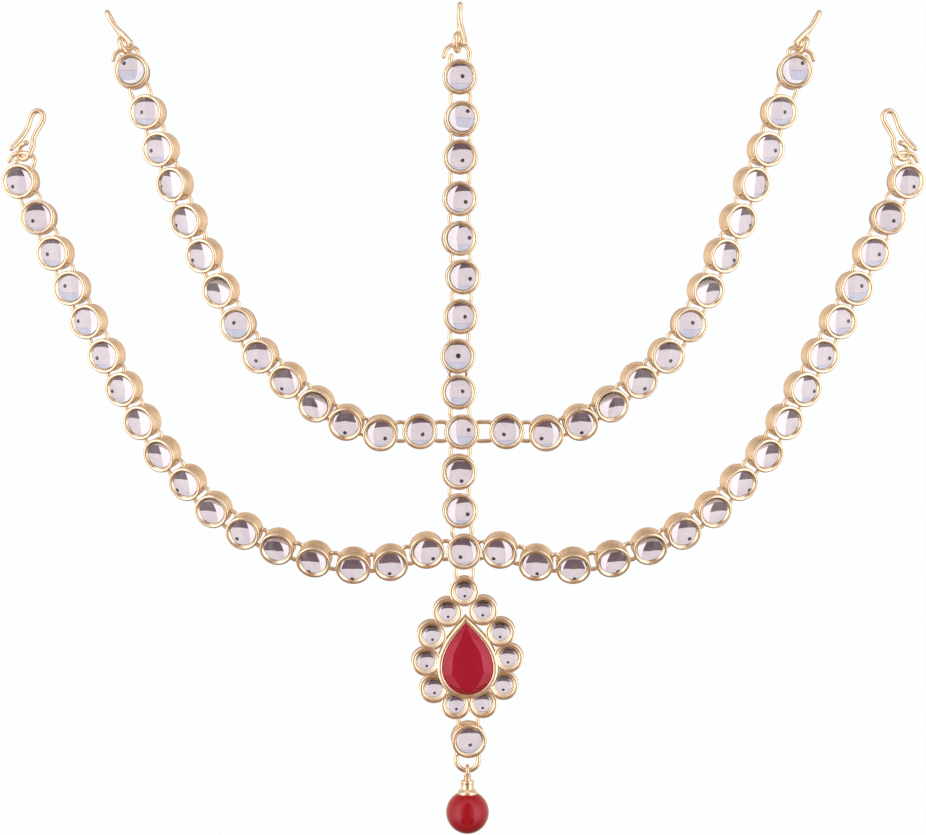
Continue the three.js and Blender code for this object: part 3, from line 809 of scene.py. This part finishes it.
def petal(surface, middle):
    """A small cup or its stone at a petal's place, sheared so that its face leans in towards the pear."""
    points, faces = surface
    inward = unit(pear_middle[:2] + (0, 1.5) - middle)
    shift = (points[:, 2:3] - SMALL_CUP[0][1]) * inward * PETAL_LEAN
    return np.concatenate([points[:, :2] + middle + shift, points[:, 2:]], 1), faces


def cut_by(surface, blocks):
    """The surface, as triangles, less some blocks that are each given by its low and high corners."""
    body = mesh_object("uncut", surface)
    unit_corners = np.array([[x, y, z] for z in (0, 1) for y in (0, 1) for x in (0, 1)])
    sides = np.array([[0, 2, 3, 1], [4, 5, 7, 6], [0, 1, 5, 4], [2, 6, 7, 3], [0, 4, 6, 2], [1, 3, 7, 5]])
    cutters = []
    for low, high in blocks:
        corners = np.array(low) + unit_corners * (np.array(high) - low)
        cutters.append(mesh_object("block", (corners, [sides])))
        cut = body.modifiers.new("cut", "BOOLEAN")
        cut.operation, cut.solver, cut.object = "DIFFERENCE", "EXACT", cutters[-1]
    seen = body.evaluated_get(bpy.context.evaluated_depsgraph_get()).data
    seen.calc_loop_triangles()
    points, corners = np.empty(len(seen.vertices) * 3), np.empty(len(seen.loop_triangles) * 3, np.int32)
    seen.vertices.foreach_get("co", points)
    seen.loop_triangles.foreach_get("vertices", corners)
    for made in (body, *cutters):
        bpy.data.objects.remove(made)
    return points.reshape(-1, 3), [corners.reshape(-1, 3)]


small_cup = turned(SMALL_CUP, 44)
viewer_hung = pendant_axes @ (VIEWER - pivot)


def petal_glass(middle):
    """A petal's stone and foil, with its glint low in it."""
    inward = unit(pear_middle[:2] + (0, 1.5) - middle)
    moved = middle + (SMALL_STONE["rim"] - SMALL_CUP[0][1]) * inward * PETAL_LEAN
    glint = (0.15 if middle[0] < pear_middle[0] else -0.05, -1.15)
    return stone_and_foil(SMALL_STONE, np.eye(3), np.array([*moved, 0.0]), viewer_hung, glint, sides=40)


nod = math.radians(DROP_NOD)
drop_up = axes_of((0, -math.sin(nod), math.cos(nod)), (0, 1, 0))
drop_faces = axes_of(drop_up[2] + (DROP_TURN, 0, 0), (0, 1, 0))
drop_middle = np.array([DROP_X, DROP_Y, 0.0])
drop_bar = drop_middle + drop_up[1] * DROP_BAR
drop_loop_top = petals[:, 1].min() - 1.075  # inside the lowest petals
drop_loop_half = (drop_loop_top - drop_bar[1]) / 2
drop_loop = rounded_oblong(LINK_HALF, drop_loop_half, 1.0)
drop_wire = round_wire(drop_loop, LINK_WIRE, (0, 0, 1), closed=True, sides=12)
drop_link = placed(drop_wire, np.eye(3), np.array([DROP_X, drop_bar[1] + drop_loop_half, drop_bar[2]]))

# The top petal is cut away for the wire it swings on: a tunnel for the bar, and a slot for each side wire.
ROOM, LUG, OUTER, SLOT_FRONT = 0.725, 1.325, 4, 1.4
top_slots = [
    ((-OUTER, -ROOM, -9), (-LUG, 5, SLOT_FRONT)),
    ((LUG, -ROOM, -9), (OUTER, 5, SLOT_FRONT)),
    ((-OUTER, -ROOM, -ROOM), (OUTER, ROOM, ROOM)),
]

flower = [in_pear(pear_turned(BEZEL)), drop_link]
for k, middle in enumerate(petals):
    cup = petal(small_cup, middle)
    flower.append(cut_by(cup, top_slots) if k == top_petal else cup)
petal_stones, petal_foils = zip(*[petal_glass(middle) for middle in petals])
piece("pendant_flower", hung(gathered(flower)), gold, "pendant", ["pendant_frame"])
piece("pendant_foils", hung(gathered(petal_foils)), foil, "pendant")
piece("pendant_stones", hung(gathered(petal_stones)), glass, "pendant")
piece("pear_gem", hung(in_pear(pear_gem())), ruby, "pendant", ["pear_stone"], crease=1.0)

# The drop cup is a big cup with a broader lip.
DROP_CUP = BIG_CUP[:9] + (
    (4.02, 2.46), (3.78, 2.52), (3.55, 2.5), (3.4, 2.42), (3.28, 2.28), (3.14, 2.1), (3.0, 1.95), (3.0, 0.32),
    (1.6, 0.27),
)
DROP_STONE = {**BIG_STONE, "radius": 3.08}
drop_cup = placed(turned(DROP_CUP, 44), drop_faces, drop_middle)
drop_stone, drop_foil = stone_and_foil(DROP_STONE, drop_faces, drop_middle, viewer_hung, (0.3, -1.2))
piece("drop_setting", hung(drop_cup), gold, "pendant", ["drop_cup"])
piece("drop_foil", hung(drop_foil), foil, "pendant")
piece("drop_stone", hung(drop_stone), glass, "pendant")

upright = np.array([(1, 0, 0), (0, 0, -1), (0, 1, 0)])
drop_depth = (drop_middle - drop_up[1] * DROP_BAR)[2]
ring_middle = np.array([BEAD_X, RING_Y, drop_depth])
turn = np.radians(np.linspace(164, 164 + 351, 60))  # all but 9 degrees of a circle
ring_path = ring_middle + RING_RADIUS * np.stack([np.cos(turn), np.sin(turn), 0 * turn], -1)
drop_ring = round_wire(ring_path, DROP_RING_WIRE, (0, 0, 1))
piece("drop_jump_ring", hung(drop_ring), gold, "pendant", ["drop_ring"])

# The cap from under its flange up to its collar, and the head pin from its head up into the bead.
CAP = (
    (0.5, -50.95), (1.9, -51.35), (2.4, -51.35), (2.45, -51.2), (2.4, -50.95), (2.1, -50.45), (1.72, -50.15),
    (1.55, -49.9), (1.52, -48.65), (1.6, -48.5), (1.6, -48.3), (1.5, -48.15), (1.48, -48.05), (1.2, -47.95),
    (0.75, -47.85), (0.6, -46.6), (0.4, -46.4),
)
PIN = (
    (0.3, -60.6), (0.7, -60.58), (0.8, -60.45), (0.72, -60.26), (0.35, -60.2), (0.35, -55.0), (0.2, -55.0),
)
loop_middle = ring_middle - (0, RING_RADIUS, 0)
around = np.linspace(0, 2 * np.pi, 28, endpoint=False)
loop_path = loop_middle + LOOP_RADIUS * np.stack([0 * around, np.cos(around), np.sin(around)], -1)
wound = np.linspace(0, 1, 70)
wound_angle = wound * WRAP_HALF_TURNS * np.pi
wrap_x, wrap_z = WRAP_RADIUS * np.cos(wound_angle), WRAP_RADIUS * np.sin(wound_angle)
wrap_path = np.stack([BEAD_X + wrap_x, WRAP_TOP - wound * WRAP_LENGTH, drop_depth + wrap_z], -1)


def upright_turned(profile, sides):
    """A profile of radius and height pairs turned about the drop's upright axis."""
    return placed(turned(profile, sides), upright, np.array([BEAD_X, 0, drop_depth]))


cap = [
    upright_turned(CAP, 40),
    upright_turned(PIN, 20),
    round_wire(loop_path, WIRE, (1, 0, 0), closed=True),
    round_wire(wrap_path, WRAP_WIRE, (0, 1, 0.02), sides=8),
]
piece("bead_cap_and_pin", hung(gathered(cap)), gold, "pendant", ["bead_cap"])

latitude = np.radians(np.linspace(-77, 80, 40))
ball = np.stack([BEAD_RADIUS * np.cos(latitude), BEAD_Y + BEAD_RADIUS * np.sin(latitude)], -1)
recess = [(0.5, -59.9), (1.02, -59.95), (1.08, -60.65)]  # for the pin's head
bead_profile = np.concatenate([recess, ball, [(0.5, BEAD_Y + BEAD_RADIUS - 0.12)]])
bead = hung(upright_turned(bead_profile, 64))
piece("bead_ball", bead, bead_glass, "pendant", ["red_bead"])

# The link that the pendant swings on: its half width, and how far below the junction's middle it starts.
SWING_HALF, SWING_START = 2.05, 2.3
loop_top, loop_bottom = junctions["lower"][0][2] - SWING_START, pivot[2]
swing_loop = rounded_oblong(SWING_HALF, (loop_top - loop_bottom) / 2, 0.9)
swing_axes = np.array([(1, 0, 0), (0, 0, 1), (0, -1, 0)])
swing_middle = np.array([pivot[0], 0, (loop_top + loop_bottom) / 2])
swing_wire = round_wire(swing_loop, SWING_WIRE, (0, 0, 1), closed=True, sides=12)
piece("pendant_link_wire", placed(swing_wire, swing_axes, swing_middle), gold, "net")

# ---- Camera, light and floor -------------------------------------------------------------------------

FIELD = 222.24 * MM  # width of the view at the depth of the stones' faces
DISTANCE = 500 * MM
SENSOR = 36.0
camera_data = bpy.data.cameras.new("camera")
camera_data.sensor_width = SENSOR
camera_data.lens = SENSOR * DISTANCE / FIELD
camera = bpy.data.objects.new("camera", camera_data)
camera.location = VIEWER * MM
camera.rotation_euler = (math.radians(90), 0, 0)
bpy.context.scene.collection.objects.link(camera)
bpy.context.scene.camera = camera


def studio_world():
    """A light tent: bright cloth in front and at the sides, dimmer overhead and warm and dim round the back
    and below, and a plain white backdrop where nothing is in the way.

    Its light is the product of two blends: from front to back, and from low to high. Each is given as pairs
    of a height or depth from -1 to 1 and a linear colour.
    """
    world = bpy.data.worlds.new("light_tent")
    bpy.context.scene.world = world
    world.use_nodes = True
    tree = world.node_tree
    tree.nodes.clear()
    way = add_node(tree, "ShaderNodeTexCoord").outputs["Generated"]
    axes = add_node(tree, "ShaderNodeSeparateXYZ", {"Vector": way}).outputs
    front_to_back = (
        (-1, (1, 1, 1)), (-0.45, (1, 1, 1)), (-0.15, (0.58, 0.56, 0.56)), (0.2, (0.42, 0.39, 0.37)),
        (0.55, (0.44, 0.37, 0.31)), (0.88, (0.45, 0.36, 0.29)), (0.96, (0.26, 0.2, 0.17)),
        (1, (0.22, 0.16, 0.14)),
    )
    low_to_high = (
        (-1, (0.24, 0.19, 0.16)), (-0.72, (0.36, 0.3, 0.27)), (-0.43, (0.8, 0.77, 0.76)), (0, (1, 1, 1)),
        (0.45, (0.84, 0.82, 0.82)), (0.8, (0.58, 0.55, 0.54)), (1, (0.5, 0.47, 0.46)),
    )
    blends = []
    for source, stops in ((axes["Y"], front_to_back), (axes["Z"], low_to_high)):
        share = add_node(tree, "ShaderNodeMapRange", {"Value": source}, {"From Min": -1.0, "From Max": 1.0})
        ramp = add_node(tree, "ShaderNodeValToRGB", {"Fac": share.outputs["Result"]})
        set_stops(ramp, [((value + 1) / 2, (*colour, 1.0)) for value, colour in stops])
        blends.append(ramp.outputs["Color"])
    tent = add_node(
        tree, "ShaderNodeMix", {6: blends[0], 7: blends[1]}, {0: 1.0}, data_type="RGBA", blend_type="MULTIPLY"
    ).outputs[2]
    light = add_node(tree, "ShaderNodeBackground", {"Color": tent}, {"Strength": 2.4})
    backdrop = add_node(tree, "ShaderNodeBackground", (), {"Color": linear("#FDFEFE"), "Strength": 1.0})
    rays = add_node(tree, "ShaderNodeLightPath")
    either = add_node(
        tree,
        "ShaderNodeMixShader",
        {"Fac": rays.outputs["Is Camera Ray"], 1: light.outputs[0], 2: backdrop.outputs[0]},
    )
    add_node(tree, "ShaderNodeOutputWorld", {"Surface": either.outputs[0]})


studio_world()


def stage_piece(name, points, colour, glow=0.0):
    """One flat face of the studio, in metres, in a plain matt colour, lit from behind if it has a glow.

    A glow counts only for the rays that happen on it, because it isn't sampled as a lamp.
    """
    made = mesh_object(name, (np.array(points), [np.arange(len(points))[None]]))
    material, tree, _ = new_material(name)
    shade = {"Base Color": linear(colour), "Roughness": 0.9, "Specular IOR Level": 0.0}
    if glow:
        shade = {
            "Base Color": linear("#000000"),
            "Emission Color": linear(colour),
            "Emission Strength": glow,
            "Specular IOR Level": 0.0,
        }
    shader = add_node(tree, "ShaderNodeBsdfPrincipled", (), shade)
    add_node(tree, "ShaderNodeOutputMaterial", {"Surface": shader.outputs["BSDF"]})
    material.cycles.emission_sampling = "NONE"
    made.data.materials.append(material)
    return made


def upright_card(name, behind, left, right, low, high, colour, glow=0.0):
    """A card behind the camera and square to its view.

    Its sides are distances from the camera, in millimetres.
    """
    x, y, z = np.array(camera.location) / MM
    corners = [(left, low), (right, low), (right, high), (left, high)]
    points = [((x + across) * MM, (y - behind) * MM, (z + up) * MM) for across, up in corners]
    made = stage_piece(name, points, colour, glow)
    made.visible_camera = False
    made.visible_shadow = False
    return made


FLOOR_Z, FLOOR_SIDE, FLOOR_BACK = -0.236, 0.6, 0.18  # in metres
floor_corners = [(-FLOOR_SIDE, -FLOOR_SIDE), (FLOOR_SIDE, -FLOOR_SIDE), (FLOOR_SIDE, FLOOR_BACK),
                 (-FLOOR_SIDE, FLOOR_BACK)]
floor = stage_piece("floor", [(x, y, FLOOR_Z) for x, y in floor_corners], "#F4F2F0")
floor.visible_glossy = False
floor.visible_transmission = False
floor.visible_diffuse = False

# The stones show a pale screen with a darker foot, a seam and a bluish head.
upright_card("screen", 60, -425, 425, -480, 620, "#F8F0F2", 1.02)
upright_card("screen_shade", 55, -425, 425, -1150, -375, "#7C686E", 0.95)
upright_card("screen_seam", 50, -300, 300, 188, 206, "#DAD2E2", 0.84)
upright_card("screen_top", 55, -425, 425, 206, 620, "#E6EAFA", 1.0)
# Bright cloth beyond the screen's sides, seen through the stones' glass alone.
side_cloth = upright_card("side_cloth", 70, -1600, 1600, -1000, 1100, "#FFFAFB", 1.32)
side_cloth.visible_glossy = False
side_cloth.visible_diffuse = False
LENS_RADIUS, LENS_Y = 0.054, -0.54  # in metres
turn = np.linspace(0, 2 * np.pi, 32, endpoint=False)
lens_x = camera.location.x + LENS_RADIUS * np.cos(turn)
lens_z = camera.location.z + LENS_RADIUS * np.sin(turn)
lens = stage_piece("lens", np.stack([lens_x, np.full(32, LENS_Y), lens_z], -1), "#6C6070", 0.4)
lens.visible_camera = False
lens.visible_shadow = False
# A tall warm card about the camera's stand, seen in gloss alone: in the gold, the red stones and the clear
# stones' outer faces.
stand = upright_card("camera_stand", 45, -200, 200, -1500, 900, "#DEB498", 0.66)
stand.visible_transmission = False
stand.visible_diffuse = False

bpy.context.scene.view_settings.view_transform = "Standard"
